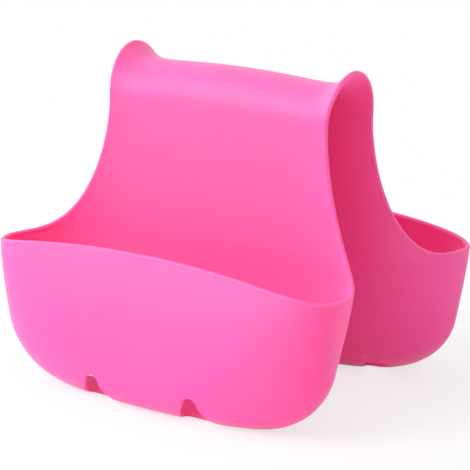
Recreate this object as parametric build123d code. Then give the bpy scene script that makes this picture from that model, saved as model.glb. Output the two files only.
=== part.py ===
from build123d import *
import math
import os

# Soft saddle caddy for a sink divider: one rubber wall that runs from a front
# tub up a web, over an arch, and down into a rear tub. Millimetres, +Z up,
# X along the divider, -Y the front. The floor pads stand on Z = 0 and the
# arch is centred over the origin. Surfaces are given at mid wall.

# Wall
wall = 2.5

# Rim of each tub
rim_half_length = 112.5
rim_end_offset = 69.7
rim_bow = 21.5
rim_end_height = 80.1
rim_rise = 10.6
rim_rise_power = 2.17
rim_front_power = 7.7

# Tub body
floor_power = 2.0
plan_blend_power = 1.2
end_draft = 11.6
end_floor_radius = 41.2
end_floor_rise = 34.2
belly = 4.0
front_floor_radius = 12.3
front_floor_rise = 12.2
web_spread = 20.0
web_spread_power = 1.65
web_floor_radius = 9.4
web_floor_rise = 14.4

# Hanging web and its swept edges
web_offset = 20.7
web_power = 4.4
strap_half_width = 74.3
strap_sweep_height = 79.2
strap_sweep_power = 1.73
panel_seam_gap = 2.0

# Arch over the divider, with its four raised ear corners
spring_over_rim = 82.7
crown_rise = 19.1
crown_sag = 3.5
crown_sag_share = 0.84
ear_rise = 26.4
ear_power = 8.8
ear_lean = 1.45
ear_lean_power = 1.5
crown_half_angle = 25

# Drain notches through the corner of wall and floor
front_notch_offset = 33.5
front_notch_half_width = 11.3
front_notch_height = 18.0
front_notch_reach = 77.0
web_notch_offset = 66.0
web_notch_half_width = 11.3
web_notch_height = 14.0
web_notch_reach = 62.0
notch_top_radius = 5.0

# One overrun for every cut
overrun = 8.0

# How finely the forms are drawn
quarter_points = 10
turn_weight = 20.0
trace_points = 400
edge_points = 14
level_shares = (0, 0.004, 0.014, 0.032, 0.06, 0.10, 0.145, 0.20, 0.28, 0.38, 0.50, 0.64, 0.77, 0.87, 0.94, 1)
station_shares = (0, 0.22, 0.42, 0.58, 0.70, 0.80, 0.87, 0.925, 0.965, 1)

# Sizes that follow
half_wall = wall / 2
rim_front_offset = rim_end_offset + rim_bow
rim_top_height = rim_end_height + rim_rise
seam_height = rim_top_height + panel_seam_gap
spring_height = rim_end_height + spring_over_rim
ear_half_width = strap_half_width + ear_lean
ear_top_height = spring_height + ear_rise
sky = ear_top_height + ear_rise


def quarter_round(run, rise, height):
    # How far a floor curve still draws in at a height
    share = min(max(1 - height / rise, 0), 1)
    return run * (1 - math.sqrt(1 - share * share))


def plan(height, sink):
    # Half length, front, web and end offsets of a tub's section, drawn with
    # floor curves that are smaller by the sink and start higher by it
    climb = height - sink
    below = 1 - height / rim_end_height
    drop = max(below, 0)
    length = rim_half_length + half_wall - end_draft * drop
    length -= quarter_round(end_floor_radius - sink, end_floor_rise - sink, climb)
    front = rim_front_offset + half_wall + 4 * belly * below * (1 - below)
    front -= quarter_round(front_floor_radius - sink, front_floor_rise - sink, climb)
    back = web_offset - half_wall + web_spread * drop ** web_spread_power
    back += quarter_round(web_floor_radius - sink, web_floor_rise - sink, climb)
    return length, front, back


def powers(height):
    # The plan is an ellipse at the floor and squarer at the rim
    blend = min(height / rim_end_height, 1) ** plan_blend_power
    front_power = floor_power + (rim_front_power - floor_power) * blend
    back_power = floor_power + (web_power - floor_power) * blend
    return front_power, back_power


def quarter(length, end_offset, middle_offset, power, inset):
    # One quarter of a section from the middle to the end, moved inwards by
    # the inset, with its points spaced by length and by turn alike
    reach = middle_offset - end_offset
    trace = []
    for i in range(trace_points + 1):
        angle = math.pi / 2 * i / trace_points
        sine = math.sin(angle)
        cosine = math.cos(angle)
        x = length * sine ** (2 / power)
        y = end_offset + reach * cosine
        slope_x = (x / length) ** (power - 1) * power / length
        slope_y = 2 * cosine / reach
        norm = math.hypot(slope_x, slope_y)
        trace.append((x - inset * slope_x / norm, y - inset * slope_y / norm))
    run = [0]
    heading = 0
    for one, two in zip(trace, trace[1:]):
        leg = math.dist(one, two)
        before = heading
        if leg > 0:
            heading = math.acos(min(max((two[0] - one[0]) / leg, -1), 1))
        run.append(run[-1] + leg + turn_weight * abs(heading - before))
    picked = []
    k = 0
    for j in range(quarter_points + 1):
        want = run[-1] * j / quarter_points
        while k < trace_points - 1 and run[k + 1] < want:
            k += 1
        part = (want - run[k]) / (run[k + 1] - run[k])
        a = trace[k]
        b = trace[k + 1]
        picked.append((a[0] + (b[0] - a[0]) * part, a[1] + (b[1] - a[1]) * part))
    return picked


def section_points(height, inset, sink):
    # A closed section of the front tub, which lies on the side of -Y
    length, front, back = plan(height, sink)
    front_power, back_power = powers(height)
    fore = quarter(length, rim_end_offset, front, front_power, inset)
    aft = quarter(length, rim_end_offset, back, back_power, inset)
    right = aft[:-1] + fore[::-1]
    left = [(-x, y) for x, y in reversed(right[1:-1])]
    return [(x, -y) for x, y in right + left]


def section(height, inset, sink):
    spots = [Vector(x, y, height) for x, y in section_points(height, inset, sink)]
    steps = [i / len(spots) for i in range(len(spots) + 1)]
    return Wire([Edge.make_spline(spots, periodic=True, parameters=steps)])


def stack(bottom, top, inset, sink):
    # A tub form lofted through its level sections
    rings = []
    for share in level_shares:
        rings.append(section(bottom + (top - bottom) * share, inset, sink))
    return Solid.make_loft(rings)


def curved_side_prism(curve, corners, near, far):
    # A front-view outline, smooth through the curve's points and straight
    # through its corners, pushed along Y from near to far
    spots = [Vector(x, near, z) for x, z in curve]
    edges = [Edge.make_spline(spots)]
    chain = [spots[-1]] + [Vector(x, near, z) for x, z in corners] + [spots[0]]
    for one, two in zip(chain, chain[1:]):
        edges.append(Edge.make_line(one, two))
    return Solid.extrude(Face(Wire(edges)), Vector(0, far - near, 0))


# Height of the tub's rim at a place along its front
def rim_height(x):
    return rim_end_height + rim_rise * (1 - (abs(x) / rim_half_length) ** rim_rise_power)


# Swept edge of the strap, from the rim's end up to the strap's full height
def strap_edge(turn):
    across = math.sin(turn) ** (2 / strap_sweep_power)
    up = 1 - math.cos(turn) ** (2 / strap_sweep_power)
    x = rim_half_length - (rim_half_length - strap_half_width) * across
    return x, rim_end_height + strap_sweep_height * up


# Lean of the ear's edge, from the spring line to the ear's top
def ear_edge(turn):
    x = strap_half_width + ear_lean * math.sin(turn) ** ear_lean_power
    return x, spring_height + ear_rise * math.sin(turn)


turns = [math.pi / 2 * i / edge_points for i in range(edge_points + 1)]
far_x = rim_half_length + overrun
far_y = rim_front_offset + belly + wall + overrun

# What is cut from above the front rim
rim_xs = [rim_half_length * (2 * i / edge_points - 1) for i in range(edge_points + 1)]
rim_curve = [(x, rim_height(x)) for x in rim_xs]
rim_corners = [(far_x, rim_end_height), (far_x, sky), (-far_x, sky), (-far_x, rim_end_height)]
above_rim = curved_side_prism(rim_curve, rim_corners, -far_y, -rim_end_offset)

# What is cut from beside the strap, on the right and on the left
sweep = [strap_edge(turn) for turn in turns]
beside_low = curved_side_prism(
    sweep,
    [(strap_half_width, spring_height), (far_x, spring_height), (far_x, rim_end_height)],
    -rim_end_offset,
    0,
)
beside_low_left = beside_low.mirror(Plane.YZ)

# Drain notch: drawn-in sides and a round top, through wall and floor
def notch(offset, half_width, height, near, far):
    shoulder = height - notch_top_radius
    foot = half_width + (half_width - notch_top_radius) * overrun / shoulder
    low = Vector(offset - foot, near, -overrun)
    high = Vector(offset - notch_top_radius, near, shoulder)
    top = Vector(offset, near, height)
    high_end = Vector(offset + notch_top_radius, near, shoulder)
    low_end = Vector(offset + foot, near, -overrun)
    edges = [
        Edge.make_line(low, high),
        Edge.make_three_point_arc(high, top, high_end),
        Edge.make_line(high_end, low_end),
        Edge.make_line(low_end, low),
    ]
    return Solid.extrude(Face(Wire(edges)), Vector(0, far - near, 0))


notches = []
for side in (-1, 1):
    front_notch = notch(
        side * front_notch_offset,
        front_notch_half_width,
        front_notch_height,
        -far_y,
        -front_notch_reach,
    )
    web_notch = notch(
        side * web_notch_offset,
        web_notch_half_width,
        web_notch_height,
        -web_notch_reach,
        0,
    )
    notches += [front_notch, web_notch]

# One front tub: outer form less inner form, trimmed to its rim and strap
outer_form = stack(0, seam_height, 0, 0)
inner_form = stack(wall, seam_height + overrun, wall, wall)
tub = outer_form - [inner_form, above_rim, beside_low, beside_low_left] - notches

# The hanging web above the tub: the rim section's wall, pushed up
web_outer = Face(section(rim_end_height, 0, 0))
web_inner = Face(section(rim_end_height, wall, wall))
web_ring = Solid.extrude(web_outer, Vector(0, 0, spring_height - rim_end_height))
web_ring = web_ring - Solid.extrude(web_inner, Vector(0, 0, spring_height - rim_end_height))
web_room = Solid.make_box(2 * far_x, rim_end_offset, spring_height - seam_height)
web_room = web_room.moved(Location((-far_x, -rim_end_offset, seam_height)))
panel = web_ring & web_room
panel = panel - beside_low - beside_low_left


def crown_height(x):
    # Mid-wall height of the arch over its spring line
    share = abs(x) / ear_half_width
    sag = crown_sag * min(share / crown_sag_share, 1) ** 2
    return crown_rise - sag + (ear_rise - crown_rise + crown_sag) * share ** ear_power


def web_side(x):
    # Mid-wall offset of the web from the middle plane
    share = min(abs(x) / rim_half_length, 1)
    return rim_end_offset - (rim_end_offset - web_offset) * math.sqrt(1 - share ** web_power)


station_end = ear_half_width + wall
trace_end = station_end + wall


def shifted(curve, distance):
    # The curve moved square to itself, read back at a place along X
    spots = []
    for i in range(trace_points + 1):
        x = trace_end * i / trace_points
        step = trace_end / trace_points / 2
        rise = (curve(x + step) - curve(x - step)) / (2 * step)
        norm = math.hypot(1, rise)
        spots.append((x - distance * rise / norm, curve(x) + distance / norm))

    def read(place):
        place = abs(place)
        for one, two in zip(spots, spots[1:]):
            if two[0] >= place:
                part = (place - one[0]) / (two[0] - one[0])
                return one[1] + (two[1] - one[1]) * part
        return spots[-1][1]

    return read


def arch(distance, skirt):
    # A half-elliptic form along X, wider and higher at the ears
    half_span = shifted(web_side, distance)
    height = shifted(crown_height, distance)
    places = [-station_end * share for share in reversed(station_shares[1:])]
    places += [station_end * share for share in station_shares]
    rings = []
    for x in places:
        span = half_span(x)
        rise = height(x)
        left = Vector(x, -span, spring_height)
        right = Vector(x, span, spring_height)
        low_left = Vector(x, -span, spring_height - skirt)
        low_right = Vector(x, span, spring_height - skirt)
        plane = Plane(origin=(x, 0, spring_height), x_dir=(0, 1, 0), z_dir=(1, 0, 0))
        top = Edge.make_ellipse(span, rise, plane=plane, start_angle=0, end_angle=180)
        edges = [top]
        if skirt > 0:
            edges.append(Edge.make_line(left, low_left))
            edges.append(Edge.make_line(low_left, low_right))
            edges.append(Edge.make_line(low_right, right))
        else:
            edges.append(Edge.make_line(left, right))
        rings.append(Wire(edges))
    return Solid.make_loft(rings)


# The arch: a tunnel wall, trimmed at the ears' edges and cut into its zones
arch_wall = arch(half_wall, 0) - arch(-half_wall, overrun)
lean = [ear_edge(turn) for turn in turns]
beside_high = curved_side_prism(
    lean,
    [(ear_half_width, sky), (far_x, sky), (far_x, spring_height)],
    -far_y,
    far_y,
)
arch_wall = arch_wall - beside_high - beside_high.mirror(Plane.YZ)

crown_reach = (sky - spring_height) * math.tan(math.radians(crown_half_angle))
wedge_face = Face(
    Wire.make_polygon(
        [
            Vector(-far_x, 0, spring_height),
            Vector(-far_x, crown_reach, sky),
            Vector(-far_x, -crown_reach, sky),
        ],
        close=True,
    )
)
wedge = Solid.extrude(wedge_face, Vector(2 * far_x, 0, 0))
crown = arch_wall & wedge
haunches = arch_wall - wedge
half_room = Solid.make_box(2 * far_x, far_y, sky)
front_room = half_room.moved(Location((-far_x, -far_y, 0)))
haunch = haunches & front_room

# The rear leg is the front leg turned half round
half_turn = Location((0, 0, 0), (0, 0, 180))
pieces = {
    "saddle_crown": crown,
    "front_haunch": haunch,
    "front_panel": panel,
    "front_pocket": tub,
    "rear_haunch": haunch.moved(half_turn),
    "rear_panel": panel.moved(half_turn),
    "rear_pocket": tub.moved(half_turn),
}

os.makedirs("parts", exist_ok=True)
for name, shape in pieces.items():
    box = shape.bounding_box()
    print(name, len(shape.solids()), round(shape.volume), box.min, box.max)
    export_step(shape, "parts/" + name + ".step")
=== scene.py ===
import math

import bpy
import numpy as np
from bpy.props import FloatProperty, PointerProperty, StringProperty
from mathutils import Matrix, Vector


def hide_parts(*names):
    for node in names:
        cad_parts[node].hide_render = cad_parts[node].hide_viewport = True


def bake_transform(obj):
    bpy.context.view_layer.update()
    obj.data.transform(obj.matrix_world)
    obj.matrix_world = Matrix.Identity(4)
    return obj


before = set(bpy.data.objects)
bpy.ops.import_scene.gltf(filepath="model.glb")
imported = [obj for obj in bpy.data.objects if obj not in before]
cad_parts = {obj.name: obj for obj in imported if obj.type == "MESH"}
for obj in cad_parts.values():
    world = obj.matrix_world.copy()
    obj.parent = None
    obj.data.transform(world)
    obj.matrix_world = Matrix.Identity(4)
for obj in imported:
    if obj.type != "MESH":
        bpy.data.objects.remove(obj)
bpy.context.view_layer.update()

bl_info = {
    "name": "Saddle Sink Caddy",
    "version": (1, 0, 0),
    "blender": (4, 5, 0),
    "location": "3D View > Sidebar > Sink Caddy",
    "description": "Builds a soft moulded two-tub caddy that hangs over a sink divider",
    "category": "Add Mesh",
}


# Extra length, in metres, that one radian of turn counts for when points are spaced along a section
TURN_WEIGHT = 0.014
# Points on a finely drawn quarter of a section
TRACE_POINTS = 1201
# Heights and offsets under this, in metres, count as lying on a plane
ON_PLANE = 1e-7


def metres(name, default, description):
    """A length that the user can change."""
    return FloatProperty(name=name, default=default, description=description, unit="LENGTH", precision=4)


def angle(name, default, description):
    """An angle that the user can change."""
    return FloatProperty(name=name, default=default, description=description, subtype="ANGLE")


def watts(name, default, description):
    """A lamp's power that the user can change."""
    return FloatProperty(name=name, default=default, description=description, unit="POWER")


def shade(name, default, description):
    """A colour that the user can change, as an sRGB hex value."""
    return StringProperty(name=name, default=default, description=description)


def plain(name, default, description):
    """A bare number that shapes a curve."""
    return FloatProperty(name=name, default=default, description=description)


class CaddyMoulding(bpy.types.PropertyGroup):
    """Sizes of the moulding, named as in the solid model, with the lip and easing that only this mesh has"""

    wall: metres("Wall", 0.0025, "Thickness of the rubber wall")
    rim_half_length: metres("Rim half length", 0.1125, "Mid-wall half length of a tub at its rim")
    rim_front_offset: metres("Rim front", 0.0912, "Mid-wall distance of the front rim from the middle plane")
    rim_end_offset: metres("Rim end", 0.0697, "Distance of a tub's pointed-out end from the middle plane")
    rim_end_height: metres("Rim end height", 0.0801, "Height of the rim at a tub's end")
    rim_rise: metres("Rim rise", 0.0106, "How far the front rim rises in its middle")
    rim_rise_power: plain("Rim rise power", 2.17, "Squareness of the front rim's rise")
    rim_front_power: plain("Rim front power", 7.7, "Squareness of the plan at the front rim")
    floor_power: plain("Floor power", 2.0, "Squareness of the plan at the floor")
    plan_blend_power: plain("Plan blend power", 1.2, "How the plan goes from floor to rim")
    rim_ease: plain("Rim ease", 0.08, "How softly the tub's ends run into the web at rim height")
    end_draft: metres("End draft", 0.0116, "How far an end draws in down to the floor")
    end_floor_radius: metres("End floor run", 0.0412, "Run of the curve between end and floor")
    end_floor_rise: metres("End floor rise", 0.0342, "Height of the curve between end and floor")
    belly: metres("Belly", 0.004, "How far the front wall swells at half height")
    front_floor_radius: metres("Front floor run", 0.0123, "Run of the curve between front and floor")
    front_floor_rise: metres("Front floor rise", 0.0122, "Height of the curve between front and floor")
    web_spread: metres("Web spread", 0.020, "How far the web leans out under its rim height")
    web_spread_power: plain("Web spread power", 1.65, "Shape of the web's lean")
    web_floor_radius: metres("Web floor run", 0.0094, "Run of the curve between web and floor")
    web_floor_rise: metres("Web floor rise", 0.0144, "Height of the curve between web and floor")
    web_offset: metres("Web offset", 0.0207, "Mid-wall distance of a web from the middle plane")
    web_power: plain("Web power", 4.4, "Squareness of the web's plan")
    strap_half_width: metres("Strap half width", 0.0743, "Half width of the strap above its swept edges")
    strap_sweep_height: metres("Sweep height", 0.0792, "Height of a swept edge")
    strap_sweep_power: plain("Sweep power", 1.73, "Shape of a swept edge")
    spring_over_rim: metres("Spring over rim", 0.0827, "Height of the arch's spring line over the end rim")
    crown_rise: metres("Crown rise", 0.0191, "Mid-wall rise of the arch in its middle")
    crown_sag: metres("Crown sag", 0.0035, "How far the arch dips before its ears")
    crown_sag_share: plain("Crown sag share", 0.84, "Where along the arch the dip is deepest")
    ear_rise: metres("Ear rise", 0.0264, "Rise of an ear's top over the spring line")
    ear_power: plain("Ear power", 8.8, "How late the arch turns up into an ear")
    ear_lean: metres("Ear lean", 0.00145, "How far an ear leans out")
    ear_lean_power: plain("Ear lean power", 1.5, "Shape of an ear's lean")
    front_notch_offset: metres("Front notch place", 0.0335, "Distance of a front drain notch from the middle")
    front_notch_half_width: metres("Front notch half width", 0.0126, "Half width of a front notch")
    front_notch_height: metres("Front notch height", 0.0172, "Height of a front notch")
    front_notch_reach: metres("Front notch reach", 0.0785, "Where a front notch ends under the floor")
    web_notch_offset: metres("Web notch place", 0.066, "Distance of a web drain notch from the middle")
    web_notch_half_width: metres("Web notch half width", 0.0113, "Half width of a web notch at the floor")
    web_notch_height: metres("Web notch height", 0.014, "Height of a web notch")
    web_notch_reach: metres("Web notch reach", 0.062, "Where a web notch ends under the floor")
    notch_top_radius: metres("Notch top radius", 0.005, "Radius of a notch's round top")
    edge_inset: metres("Edge inset", 0.0006, "How far a rounded edge's middle lies inside the sharp one")
    lip_radius: metres("Lip radius", 0.00145, "Radius of the lip along the rim and the strap's edges")
    lip_lift: metres("Lip lift", 0.0011, "How far the lip's middle lies beyond the plain wall's end")
    sweep_inset: metres("Sweep inset", 0.0008, "How much further in the strap's swept edges lie")
    mesh_step: metres("Mesh step", 0.0021, "Length of one mesh face along the wall")


class CaddyRubber(bpy.types.PropertyGroup):
    """Colours and finish of the rubber"""

    pigment: shade("Pigment", "#FE5EAB", "Body colour of the pink rubber, sRGB hex")
    bloom: shade("Bloom", "#FFFFFF", "Colour of the powdery bloom on the rubber, sRGB hex")
    depth: metres("Light depth", 0.008, "How far red light travels inside the rubber")
    grain: metres("Mould grain", 0.0007, "Spacing of the spark-etched mould grain as drawn")
    flow: metres("Flow mottle", 0.028, "Spacing of the faint mottle that the melt's flow leaves")


class CaddyStudio(bpy.types.PropertyGroup):
    """Camera, floor and lamps"""

    turn: angle("Camera turn", math.radians(33.595), "Camera's turn round the caddy")
    tilt: angle("Camera tilt", math.radians(14.768), "Camera's height over the floor")
    roll: angle("Camera roll", 0.024, "Camera's roll about its view")
    distance: metres("Camera distance", 1.247316, "Distance from the aim point to the camera")
    aim_side: metres("Aim side", -0.000784, "Sideways shift of the aim point")
    aim_height: metres("Aim height", 0.084186, "Height of the aim point over the floor")
    lens: FloatProperty(
        name="Lens",
        default=164.374,
        description="Focal length on a 36 mm sensor",
        subtype="DISTANCE_CAMERA",
    )
    floor_tone: shade("Floor tone", "#F4F4F4", "Colour of the studio floor, sRGB hex")
    floor_reach: metres("Floor reach", 0.75, "Where the floor has faded into the white room")
    key_power: watts("Key lamp", 24.0, "Power of the high lamp at the front left")
    side_power: watts("Side lamp", 13.0, "Power of the lamp at the left")
    low_power: watts("Low lamp", 12.0, "Power of the low lamp at the front")
    room_light: plain("Room light", 0.74, "Strength of the even light from all round, where 1 is white")


def hex_colour(text, alpha=1.0):
    """Linear colour from an sRGB hex value."""
    parts = [int(text.lstrip("#")[i : i + 2], 16) / 255 for i in (0, 2, 4)]
    linear = [p / 12.92 if p <= 0.04045 else ((p + 0.055) / 1.055) ** 2.4 for p in parts]
    return (*linear, alpha)


def node(tree, kind, settings=None, inputs=None, links=None):
    """A shader node with its settings, input values and links from other nodes' outputs."""
    made = tree.nodes.new(kind)
    for name, value in (settings or {}).items():
        setattr(made, name, value)
    for name, value in (inputs or {}).items():
        made.inputs[name].default_value = value
    for name, source in (links or {}).items():
        tree.links.new(source, made.inputs[name])
    return made


def quarter_round(run, rise, height):
    """How far a floor curve still draws in at a height."""
    share = np.clip(1 - height / rise, 0, 1)
    return run * (1 - np.sqrt(1 - share * share))


def way_down(m, height):
    """Share of the way from the rim's end down to the floor, eased where the tub runs into the web."""
    drop = max(1 - height / m.rim_end_height, 0)
    return (math.hypot(drop, m.rim_ease) - m.rim_ease) / (math.hypot(1, m.rim_ease) - m.rim_ease)


def plan(m, height):
    """Half length, front and web offsets of a tub's outer face at a height."""
    below = 1 - height / m.rim_end_height
    drop = max(below, 0)
    length = m.rim_half_length + m.wall / 2 - m.end_draft * way_down(m, height)
    length -= quarter_round(m.end_floor_radius, m.end_floor_rise, height)
    front = m.rim_front_offset + m.wall / 2 + 4 * m.belly * below * (1 - below)
    front -= quarter_round(m.front_floor_radius, m.front_floor_rise, height)
    back = m.web_offset - m.wall / 2 + m.web_spread * drop**m.web_spread_power
    back += quarter_round(m.web_floor_radius, m.web_floor_rise, height)
    return length, front, back


def powers(m, height):
    """Squareness of the plan's front and web side at a height."""
    blend = (1 - way_down(m, height)) ** m.plan_blend_power
    return (
        m.floor_power + (m.rim_front_power - m.floor_power) * blend,
        m.floor_power + (m.web_power - m.floor_power) * blend,
    )


def quarter_trace(length, end_offset, middle_offset, power):
    """A finely drawn quarter of a section, from the middle to the end."""
    turn = np.linspace(0, math.pi / 2, TRACE_POINTS)
    x = length * np.sin(turn) ** (2 / power)
    y = end_offset + (middle_offset - end_offset) * np.cos(turn)
    return x, y


def trace_run(x, y, turn_weight):
    """Length run along a trace, with its turns counted as extra length."""
    legs = np.hypot(np.diff(x), np.diff(y))
    heading = np.unwrap(np.arctan2(np.diff(y), np.diff(x)))
    turns = np.abs(np.diff(heading, prepend=heading[0]))
    return np.concatenate([[0], np.cumsum(legs + turn_weight * turns)])


def strap_side(m, x):
    """Offset of the web's throat face from the middle plane, at a place along X."""
    length, _, back = plan(m, m.rim_end_height)
    share = np.clip(np.abs(x) / length, 0, 1)
    return m.rim_end_offset - (m.rim_end_offset - back) * np.sqrt(1 - share**m.web_power)


def underside_rise(m, x):
    """Rise of the arch's underside over the spring line, at a place along X."""
    half = m.strap_half_width + m.ear_lean
    places = np.linspace(0, half + 2 * m.wall, 801)
    share = places / half
    sag = m.crown_sag * np.minimum(share / m.crown_sag_share, 1) ** 2
    mid = m.crown_rise - sag + (m.ear_rise - m.crown_rise + m.crown_sag) * share**m.ear_power
    slope = np.gradient(mid, places)
    norm = np.hypot(1, slope)
    return np.interp(np.abs(x), places + m.wall / 2 * slope / norm, mid - m.wall / 2 / norm)


def slope_at(curve, m, x):
    """Slope of a curve along X at a place."""
    step = 0.0002
    return float(curve(m, x) - curve(m, x - step)) / step


def smooth(share):
    """A share from 0 to 1, eased at both ends."""
    share = min(max(share, 0), 1)
    return share * share * (3 - 2 * share)


class Sheet:
    """The moulding's skin face as one sheet of quads, before it gets its thickness"""

    def __init__(self):
        self.points = []
        self.faces = []
        self.count = 0

    def add(self, rows):
        """Adds rows of points and gives their numbers back in the same shape."""
        rows = np.asarray(rows, float)
        numbers = self.count + np.arange(rows.shape[0] * rows.shape[1]).reshape(rows.shape[:2])
        self.points.append(rows.reshape(-1, 3))
        self.count += numbers.size
        return numbers

    def join(self, grid, closed=False):
        """Faces between neighbouring rows of point numbers."""
        if closed:
            grid = np.concatenate([grid, grid[:, :1]], axis=1)
        a, b, c, d = grid[:-1, :-1], grid[:-1, 1:], grid[1:, 1:], grid[1:, :-1]
        for quad in np.stack([a, b, c, d], axis=-1).reshape(-1, 4):
            ring = [int(v) for v in quad]
            kept = [v for k, v in enumerate(ring) if v != ring[k - 1]]
            if len(kept) > 2:
                self.faces.append(kept)


def notch_distance(points, m, offset, half_width, height, reach, outside):
    """Signed distance from a drain notch, negative inside it."""
    across = np.abs(np.abs(points[:, 0]) - offset)
    z = points[:, 2]
    far = np.abs(points[:, 1])
    shoulder = height - m.notch_top_radius
    slant = (half_width - m.notch_top_radius) / shoulder
    side = (across - m.notch_top_radius - slant * (shoulder - z)) / math.hypot(1, slant)
    top = np.hypot(across, z - shoulder) - m.notch_top_radius
    profile = np.where(z > shoulder, top, side)
    depth = (reach - far) if outside else (far - reach)
    # Smooth the corner where the sides meet the notch's end
    soft = 0.004
    mix = np.clip(0.5 + 0.5 * (profile - depth) / soft, 0, 1)
    return depth + (profile - depth) * mix + soft * mix * (1 - mix)


def drain_field(points, m):
    """Signed distance from the nearest of a tub's four drain notches."""
    front = (m.front_notch_offset, m.front_notch_half_width, m.front_notch_height, m.front_notch_reach)
    web = (m.web_notch_offset, m.web_notch_half_width, m.web_notch_height, m.web_notch_reach)
    return np.minimum(notch_distance(points, m, *front, True), notch_distance(points, m, *web, False))


def rim_top(m, x):
    """Height of the front rim at a place along X, eased into the flat ends."""
    lift = 1 - (np.abs(x) / m.rim_half_length) ** m.rim_rise_power
    ease = 0.06
    eased = lift + np.sqrt(lift * lift + ease * ease) - ease * np.exp(-2 * lift)
    return m.rim_end_height + m.rim_rise * 0.5 * eased


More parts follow.
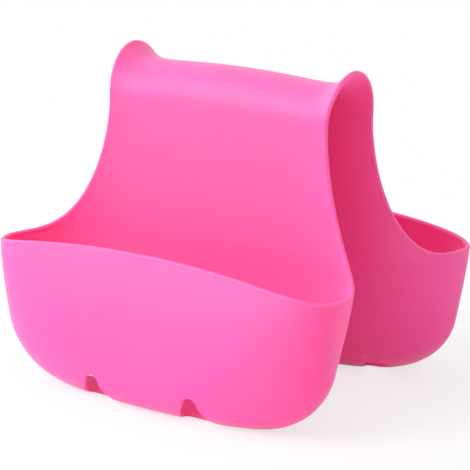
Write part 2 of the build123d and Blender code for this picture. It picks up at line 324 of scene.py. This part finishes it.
def front_sheet(m):
    """Points and faces of the front leg's skin: tub outside, web's throat face and arch underside."""
    inset = m.edge_inset + m.lip_lift + m.lip_radius - m.wall / 2
    low_top = m.rim_end_height - inset
    spring = m.rim_end_height + m.spring_over_rim
    sheet = Sheet()

    # Columns round the tub: even in length with extra ones in the turns
    length, front, back = plan(m, low_top)
    front_power, back_power = powers(m, low_top)
    aft = quarter_trace(length, m.rim_end_offset, back, back_power)
    run = trace_run(*aft, TURN_WEIGHT)
    strap_run = np.interp(m.rim_half_length, aft[0], run)
    strap_columns = round(strap_run / m.mesh_step)
    end_columns = max(round((run[-1] - strap_run) / m.mesh_step), 4)
    strap_shares = np.linspace(0, strap_run / run[-1], strap_columns + 1)
    aft_shares = np.concatenate([strap_shares, np.linspace(strap_shares[-1], 1, end_columns + 1)[1:]])
    fore_shares = np.linspace(0, 1, len(aft_shares))

    # Rows up the tub, close together over the floor curve
    row_count = 46
    climb = np.linspace(0, 1, row_count + 1) ** 2
    half = len(aft_shares) - 1
    right = np.zeros((row_count + 1, 2 * half + 1, 3))
    tops = np.full(2 * half + 1, low_top)
    for _ in range(3):
        for j, share in enumerate(climb):
            for i in range(2 * half + 1):
                right[j, i, 2] = share * tops[i]
        for i in range(2 * half + 1):
            fore = i > half
            want = fore_shares[2 * half - i] if fore else aft_shares[i]
            for j in range(row_count + 1):
                right[j, i, :2] = spot_on_section(m, right[j, i, 2], fore, want)
        tops = np.where(np.arange(2 * half + 1) > half, rim_top(m, right[-1, :, 0]) - inset, low_top)
    left = right[:, -2:0:-1] * (-1, 1, 1)
    ring = np.concatenate([right, left], axis=1)
    ring[:, :, 1] *= -1
    tub = sheet.add(ring)
    sheet.join(tub, closed=True)

    # The flat floor between the web's and the front's foot lines
    back_foot = tub[0, : half + 1]
    front_foot = tub[0, half : 2 * half + 1][::-1]
    floor_rows = 9
    lines = [back_foot]
    whole = ring[0]
    for k in range(1, floor_rows):
        share = k / floor_rows
        line = whole[: half + 1] * (1 - share) + whole[half : 2 * half + 1][::-1] * share
        numbers = sheet.add([line[:-1]])[0]
        lines.append(np.concatenate([numbers, [back_foot[-1]]]))
    lines.append(front_foot)
    mirror_of = {int(v): int(v) for v in (back_foot[0], front_foot[0], back_foot[-1])}
    around = tub.shape[1]
    for i in range(around):
        mirror_of[int(tub[0, i])] = int(tub[0, -i % around])
    grid = np.array(lines)
    sheet.join(grid)
    left_lines = []
    for k, numbers in enumerate(lines):
        if k in (0, floor_rows):
            left_lines.append([mirror_of[int(v)] for v in numbers])
            continue
        share = k / floor_rows
        line = whole[: half + 1] * (1 - share) + whole[half : 2 * half + 1][::-1] * share
        made = sheet.add([line[1:-1] * (-1, 1, 1)])[0]
        left_lines.append([int(numbers[0]), *[int(v) for v in made], mirror_of[int(back_foot[-1])]])
    sheet.join(np.array(left_lines)[:, ::-1])

    # The strap above the tub: rows follow the swept edges
    across = right[-1, : strap_columns + 1, 0] / right[-1, strap_columns, 0]
    spread = np.concatenate([-across[:0:-1], across])
    base = np.concatenate([tub[-1, -strap_columns:], tub[-1, : strap_columns + 1]])
    levels = []
    turns = np.linspace(0, math.pi / 2, 40)[1:]
    for turn in turns:
        power = 2 / m.strap_sweep_power
        sweep = m.rim_half_length - m.strap_half_width
        x = m.rim_half_length - sweep * math.sin(turn) ** power
        z = m.rim_end_height + m.strap_sweep_height * (1 - math.cos(turn) ** power)
        dx = -sweep * power * math.sin(turn) ** (power - 1) * math.cos(turn)
        dz = m.strap_sweep_height * power * max(math.cos(turn), 1e-9) ** (power - 1) * math.sin(turn)
        norm = math.hypot(dx, dz)
        flare = slope_at(strap_side, m, x)
        away = smooth(turn / 0.4)
        edge_in = inset + m.sweep_inset * away
        mid_wall = away * m.wall / 2 * flare / math.hypot(1, flare)
        levels.append((x - edge_in * dz / norm + mid_wall, z + edge_in * dx / norm))
    levels.append((levels[-1][0], spring))
    # In the middle the rows rise evenly, and they stay flatter than the swept edges that their ends follow
    rows = []
    for k, (reach, z) in enumerate(levels):
        x = spread * reach
        even = z
        if k < len(turns):
            even = low_top + (levels[-2][1] - low_top) * (k + 1) / len(turns)
        height = z + (even - z) * (1 - np.abs(spread) ** 2)
        rows.append(np.stack([x, -strap_side(m, x), height], axis=1))

    # The arch, ending in one narrow row at the middle plane
    turns = np.concatenate([np.linspace(0, math.pi / 2, 25)[1:-1], [math.radians(89.4), math.pi / 2]])
    for turn in turns:
        lean = m.ear_lean * math.sin(turn) ** m.ear_lean_power
        tip = m.strap_half_width + lean
        flare = slope_at(underside_rise, m, tip) * math.sin(turn) ** 2
        flare += slope_at(strap_side, m, tip) * math.cos(turn) ** 2
        edge_in = inset + m.sweep_inset * math.cos(turn) ** 2
        x = spread * (tip + (m.wall / 2 * flare - edge_in) / math.hypot(1, flare))
        y = -strap_side(m, x) * (math.cos(turn) if turn < math.pi / 2 else 0)
        z = spring + underside_rise(m, x) * math.sin(turn)
        rows.append(np.stack([x, y, z], axis=1))
    strap = sheet.add(rows)
    sheet.join(np.concatenate([base[None], strap]))
    return np.concatenate(sheet.points), sheet.faces


SECTIONS = {}


def spot_on_section(m, height, fore, want):
    """Place on a tub's section at a height, by its share of the quarter's run."""
    key = (round(height, 7), fore)
    if key not in SECTIONS:
        length, front, back = plan(m, height)
        front_power, back_power = powers(m, height)
        middle, power = (front, front_power) if fore else (back, back_power)
        x, y = quarter_trace(length, m.rim_end_offset, middle, power)
        run = trace_run(x, y, TURN_WEIGHT)
        SECTIONS[key] = (run / run[-1], x, y)
    shares, x, y = SECTIONS[key]
    return np.interp(want, shares, x), np.interp(want, shares, y)


def vertex_normals(points, faces):
    """Area-weighted normals of a sheet's points."""
    normals = np.zeros_like(points)
    for face in faces:
        corners = points[face]
        middle = corners.mean(axis=0)
        span = np.roll(corners, -1, axis=0)
        area = np.cross(corners - middle, span - middle).sum(axis=0)
        normals[face] += area
    return normals / np.linalg.norm(normals, axis=1)[:, None]


def outward_faces(points, faces):
    """The sheet's faces, all turned to look away from the rubber on the skin side."""
    flat = [all(points[v][2] < 1e-9 for v in face) for face in faces]
    turned = []
    for wanted, way in ((True, (0, 0, -1)), (False, (0, -1, 0))):
        group = [face for face, low in zip(faces, flat) if low == wanted]
        front = min(group, key=lambda face: points[face][:, 1].sum() / len(face))
        a, b, c = points[front[:3]]
        if np.cross(b - a, c - a) @ way < 0:
            group = [face[::-1] for face in group]
        turned += group
    return turned


def cut_drains(points, normals, faces, m):
    """Cuts the drain notches out of the sheet along an exact line, for the rounded edge to follow."""
    edge = m.wall / 2
    field = drain_field(points - normals * edge, m) - m.edge_inset
    points = list(points)
    normals = list(normals)
    made = {}

    def crossing(a, b):
        key = (min(a, b), max(a, b))
        if key not in made:
            share = field[a] / (field[a] - field[b])
            points.append(points[a] + (points[b] - points[a]) * share)
            normal = normals[a] + (normals[b] - normals[a]) * share
            normals.append(normal / np.linalg.norm(normal))
            made[key] = len(points) - 1
        return made[key]

    kept = []
    for face in faces:
        inside = [field[v] >= 0 for v in face]
        if all(inside):
            kept.append(face)
            continue
        ring = []
        for k, v in enumerate(face):
            after = face[(k + 1) % len(face)]
            if field[v] >= 0:
                ring.append(v)
            if (field[v] >= 0) != (field[after] >= 0):
                ring.append(crossing(v, after))
        if len(ring) > 2:
            kept.append(ring)
    return np.array(points), np.array(normals), kept


def thicken(points, normals, faces, m):
    """Gives the sheet its wall, with a full round along every free edge."""
    edge = m.wall / 2
    used = {(v, face[(k + 1) % len(face)]): True for face in faces for k, v in enumerate(face)}
    free = [(a, b) for a, b in used if (b, a) not in used]
    seam = set(np.flatnonzero(np.abs(points[:, 1]) < ON_PLANE).tolist())
    free = [(a, b) for a, b in free if not (a in seam and b in seam)]

    # Which way is out at a free edge, in the face of the sheet
    out = np.zeros_like(points)
    for a, b in free:
        along = points[b] - points[a]
        for v in (a, b):
            out[v] += np.cross(along, normals[v])
    rim = sorted({v for pair in free for v in pair})
    after = {a: b for a, b in free}
    before = {b: a for a, b in free}
    for _ in range(8):
        eased = out.copy()
        for v in rim:
            near = [w for w in (after.get(v), before.get(v)) if w is not None]
            eased[v] = out[v] + sum(out[w] for w in near)
            eased[v] /= np.linalg.norm(eased[v])
        out = eased
    for v in rim:
        way = out[v] - normals[v] * (out[v] @ normals[v])
        if v in seam:
            way[1] = 0
        out[v] = way / np.linalg.norm(way)

    used_points = sorted({v for face in faces for v in face})
    number = {v: k for k, v in enumerate(used_points)}
    skin = points[used_points]
    back = skin - normals[used_points] * m.wall
    total = [skin, back]
    shift = len(used_points)
    polygons = [[number[v] for v in face] for face in faces]
    polygons += [[number[v] + shift for v in reversed(face)] for face in faces]
    # The rim and the strap's edges end in a small lip, the drain notches in a plain round
    steps = 10
    base = 2 * shift
    place = {v: k for k, v in enumerate(rim)}
    lipped = points[rim][:, 2:] > m.rim_end_height / 2
    radius = np.where(lipped, m.lip_radius, edge)
    centre = points[rim] - normals[rim] * edge + out[rim] * np.where(lipped, m.lip_lift, 0)
    tuck = math.acos(edge / m.lip_radius)
    arcs = []
    for k in range(1, steps):
        lip_turn = (math.pi + 2 * tuck) * (k - 1) / (steps - 2) - tuck
        turn = np.where(lipped, lip_turn, math.pi * k / steps)
        arcs.append(centre + radius * (normals[rim] * np.cos(turn) + out[rim] * np.sin(turn)))
    total += arcs

    def ring_number(v, k):
        if k == 0:
            return number[v]
        if k == steps:
            return number[v] + shift
        return base + (k - 1) * len(rim) + place[v]

    for a, b in free:
        for k in range(steps):
            corners = ((b, k), (a, k), (a, k + 1), (b, k + 1))
            polygons.append([ring_number(*corner) for corner in corners])
    return np.concatenate(total), polygons


def leg_mesh(m, name, turned):
    """One leg of the moulding as a mesh: tub, web and its half of the arch."""
    SECTIONS.clear()
    points, faces = front_sheet(m)
    faces = outward_faces(points, faces)
    normals = vertex_normals(points, faces)
    seam = np.abs(points[:, 1]) < ON_PLANE
    normals[seam, 1] = 0
    normals[seam] /= np.linalg.norm(normals[seam], axis=1)[:, None]
    points, normals, faces = cut_drains(points, normals, faces, m)
    points, polygons = thicken(points, normals, faces, m)
    if turned:
        points = points * (-1, -1, 1)
    mesh = bpy.data.meshes.new(name)
    mesh.from_pydata(points.tolist(), [], polygons)
    mesh.validate()
    mesh.shade_smooth()
    mesh.update()
    return mesh


def rubber_material(tones):
    """Moulded pink thermoplastic rubber with a fine satin grain.

    To the eye: a soft, milky surface with a broad dull sheen, whose shaded folds glow deeper red-pink
    because light passes a little way through the wall.
    """
    material = bpy.data.materials.new("moulded_thermoplastic_rubber")
    material.use_nodes = True
    tree = material.node_tree
    tree.nodes.clear()
    place = node(tree, "ShaderNodeTexCoord")
    # Melt flow leaves a faint cloudiness a few centimetres across
    mottle = node(
        tree,
        "ShaderNodeTexNoise",
        inputs={"Scale": 1 / tones.flow, "Detail": 2.0, "Roughness": 0.45},
        links={"Vector": place.outputs["Object"]},
    )
    # Red light travels furthest in the pigment, so folds and shaded walls glow red
    pigment = hex_colour(tones.pigment)
    deep = tuple(c * k for c, k in zip(pigment, (0.985, 0.955, 0.97, 1)))
    colour = node(
        tree,
        "ShaderNodeMix",
        {"data_type": "RGBA"},
        {"A": deep, "B": pigment},
        {"Factor": mottle.outputs["Fac"]},
    )
    # Spark-etched mould grain is about 0.2 mm, drawn coarser so that it shows at all
    grain = node(
        tree,
        "ShaderNodeTexNoise",
        inputs={"Scale": 1 / tones.grain, "Detail": 3.0, "Roughness": 0.6},
        links={"Vector": place.outputs["Object"]},
    )
    relief = node(
        tree,
        "ShaderNodeBump",
        inputs={"Strength": 0.35, "Distance": 0.00006},
        links={"Height": grain.outputs["Fac"]},
    )
    sheen = node(
        tree,
        "ShaderNodeMapRange",
        inputs={"To Min": 0.45, "To Max": 0.55},
        links={"Value": mottle.outputs["Fac"]},
    )
    body = node(
        tree,
        "ShaderNodeBsdfPrincipled",
        inputs={
            "IOR": 1.5,
            "Subsurface Weight": 1.0,
            "Subsurface Radius": (1.0, 0.15, 0.22),
            "Subsurface Scale": tones.depth,
            "Sheen Weight": 0.12,
            "Sheen Roughness": 0.5,
            "Sheen Tint": hex_colour(tones.bloom),
        },
        links={
            "Base Color": colour.outputs[2],
            "Roughness": sheen.outputs["Result"],
            "Normal": relief.outputs["Normal"],
        },
    )
    node(tree, "ShaderNodeOutputMaterial", links={"Surface": body.outputs["BSDF"]})
    return material


def rubber(tones):
    """The one rubber material, made on first use."""
    return bpy.data.materials.get("moulded_thermoplastic_rubber") or rubber_material(tones)


def finish_leg(mesh, nodes):
    """Puts a leg's mesh in the scene and stands it for its solids."""
    piece = bpy.data.objects.new(mesh.name, mesh)
    bpy.context.scene.collection.objects.link(piece)
    mesh.materials.append(rubber(bpy.context.scene.caddy_rubber))
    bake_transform(piece)
    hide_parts(*nodes)
    return piece


class CADDY_OT_front_leg(bpy.types.Operator):
    """Build the front tub, its web and its half of the arch"""

    bl_idname = "caddy.front_leg"
    bl_label = "Front leg"

    def execute(self, context):
        mesh = leg_mesh(context.scene.caddy_moulding, "front_leg_moulding", False)
        finish_leg(mesh, ["saddle_crown", "front_haunch", "front_panel", "front_pocket"])
        return {"FINISHED"}


class CADDY_OT_rear_leg(bpy.types.Operator):
    """Build the rear tub, its web and its half of the arch"""

    bl_idname = "caddy.rear_leg"
    bl_label = "Rear leg"

    def execute(self, context):
        mesh = leg_mesh(context.scene.caddy_moulding, "rear_leg_moulding", True)
        finish_leg(mesh, ["rear_haunch", "rear_panel", "rear_pocket"])
        return {"FINISHED"}


def area_lamp(name, place, aim, size, watts, tone="#FFFFFF"):
    """A soft square lamp that looks at a point."""
    lamp = bpy.data.lights.new(name, "AREA")
    lamp.shape = "SQUARE"
    lamp.size = size
    lamp.energy = watts
    lamp.color = hex_colour(tone)[:3]
    holder = bpy.data.objects.new(name, lamp)
    holder.location = place
    holder.rotation_euler = (Vector(aim) - Vector(place)).to_track_quat("-Z", "Y").to_euler()
    bpy.context.scene.collection.objects.link(holder)
    return holder


def seen_white(tree):
    """1 for what the camera sees, also mirrored or through glass, and 0 for the light on the caddy."""
    ray = node(tree, "ShaderNodeLightPath")
    mirrored = node(
        tree,
        "ShaderNodeMath",
        {"operation": "MAXIMUM"},
        links={0: ray.outputs["Is Glossy Ray"], 1: ray.outputs["Is Transmission Ray"]},
    )
    return node(
        tree,
        "ShaderNodeMath",
        {"operation": "MAXIMUM"},
        links={0: ray.outputs["Is Camera Ray"], 1: mirrored.outputs[0]},
    )


class CADDY_OT_studio(bpy.types.Operator):
    """Build the pale floor, the soft lamps and the camera"""

    bl_idname = "caddy.studio"
    bl_label = "Studio"

    def execute(self, context):
        scene = context.scene
        s = scene.caddy_studio

        floor_mesh = bpy.data.meshes.new("studio_floor")
        reach = 6.0
        corners = [(-reach, -reach, 0), (reach, -reach, 0), (reach, reach, 0), (-reach, reach, 0)]
        floor_mesh.from_pydata(corners, [], [(0, 1, 2, 3)])
        floor = bpy.data.objects.new("studio_floor", floor_mesh)
        floor.location.z = -0.0002
        scene.collection.objects.link(floor)
        paint = bpy.data.materials.new("matt_studio_paint")
        paint.use_nodes = True
        tree = paint.node_tree
        tree.nodes.clear()
        matt = node(
            tree,
            "ShaderNodeBsdfPrincipled",
            inputs={"Base Color": hex_colour(s.floor_tone), "Roughness": 0.9, "Specular IOR Level": 0.1},
        )
        # The camera sees the floor's shadows softened towards white
        white = node(tree, "ShaderNodeEmission", inputs={"Color": hex_colour("#FFFFFF"), "Strength": 1.0})
        share = node(
            tree, "ShaderNodeMapRange", inputs={"To Max": 0.7}, links={"Value": seen_white(tree).outputs[0]}
        )
        soft = node(
            tree, "ShaderNodeMixShader", links={0: share.outputs[0], 1: matt.outputs[0], 2: white.outputs[0]}
        )
        # Away from the caddy the floor fades into the white room
        place = node(tree, "ShaderNodeTexCoord")
        away = node(tree, "ShaderNodeVectorMath", {"operation": "LENGTH"}, links={0: place.outputs["Object"]})
        fade = node(
            tree,
            "ShaderNodeMapRange",
            {"interpolation_type": "SMOOTHSTEP"},
            {"From Min": s.floor_reach / 3, "From Max": s.floor_reach},
            {"Value": away.outputs["Value"]},
        )
        clear = node(tree, "ShaderNodeBsdfTransparent")
        edge = node(
            tree,
            "ShaderNodeMixShader",
            links={0: fade.outputs[0], 1: soft.outputs[0], 2: clear.outputs[0]},
        )
        node(tree, "ShaderNodeOutputMaterial", links={"Surface": edge.outputs[0]})
        floor_mesh.materials.append(paint)

        world = bpy.data.worlds.new("white_room")
        scene.world = world
        world.use_nodes = True
        tree = world.node_tree
        tree.nodes.clear()
        level = node(
            tree,
            "ShaderNodeMapRange",
            inputs={"To Min": s.room_light, "To Max": 1.0},
            links={"Value": seen_white(tree).outputs[0]},
        )
        light = node(
            tree,
            "ShaderNodeBackground",
            inputs={"Color": hex_colour("#FFFFFF")},
            links={"Strength": level.outputs["Result"]},
        )
        node(tree, "ShaderNodeOutputWorld", links={"Surface": light.outputs["Background"]})

        aim = (0, -0.02, 0.09)
        area_lamp("key_lamp", (-0.9, -1.5, 1.5), aim, 1.1, s.key_power)
        area_lamp("side_lamp", (-1.8, -0.2, 1.0), aim, 1.1, s.side_power)
        area_lamp("low_lamp", (-0.8, -1.8, 0.6), aim, 1.0, s.low_power)

        data = bpy.data.cameras.new("photo_camera")
        data.sensor_width = 36
        data.lens = s.lens
        data.clip_start = 0.01
        camera = bpy.data.objects.new("photo_camera", data)
        back = Vector(
            (math.sin(s.turn) * math.cos(s.tilt), -math.cos(s.turn) * math.cos(s.tilt), math.sin(s.tilt))
        )
        right = Vector((math.cos(s.turn), math.sin(s.turn), 0))
        up = back.cross(right)
        rolled = right * math.cos(s.roll) + up * math.sin(s.roll)
        rolled_up = up * math.cos(s.roll) - right * math.sin(s.roll)
        camera.matrix_world = Matrix(
            [(rolled[k], rolled_up[k], back[k], 0) for k in range(3)] + [(0, 0, 0, 1)]
        )
        camera.location = right * s.aim_side + Vector((0, 0, s.aim_height)) + back * s.distance
        scene.collection.objects.link(camera)
        scene.camera = camera
        scene.view_settings.view_transform = "Standard"
        return {"FINISHED"}


class CADDY_PT_panel(bpy.types.Panel):
    """Sizes, colours and build buttons of the caddy"""

    bl_idname = "CADDY_PT_panel"
    bl_label = "Sink Caddy"
    bl_space_type = "VIEW_3D"
    bl_region_type = "UI"
    bl_category = "Sink Caddy"

    def draw(self, context):
        for operator in (CADDY_OT_front_leg, CADDY_OT_rear_leg, CADDY_OT_studio):
            self.layout.operator(operator.bl_idname)
        for group in (context.scene.caddy_moulding, context.scene.caddy_rubber, context.scene.caddy_studio):
            box = self.layout.box()
            for name in group.__annotations__:
                box.prop(group, name)


CLASSES = (
    CaddyMoulding,
    CaddyRubber,
    CaddyStudio,
    CADDY_OT_front_leg,
    CADDY_OT_rear_leg,
    CADDY_OT_studio,
    CADDY_PT_panel,
)


def register():
    for cls in CLASSES:
        bpy.utils.register_class(cls)
    bpy.types.Scene.caddy_moulding = PointerProperty(type=CaddyMoulding)
    bpy.types.Scene.caddy_rubber = PointerProperty(type=CaddyRubber)
    bpy.types.Scene.caddy_studio = PointerProperty(type=CaddyStudio)


def unregister():
    del bpy.types.Scene.caddy_studio
    del bpy.types.Scene.caddy_rubber
    del bpy.types.Scene.caddy_moulding
    for cls in reversed(CLASSES):
        bpy.utils.unregister_class(cls)


def main():
    register()
    bpy.ops.caddy.front_leg()
    bpy.ops.caddy.rear_leg()
    bpy.ops.caddy.studio()


if __name__ == "__main__":
    main()
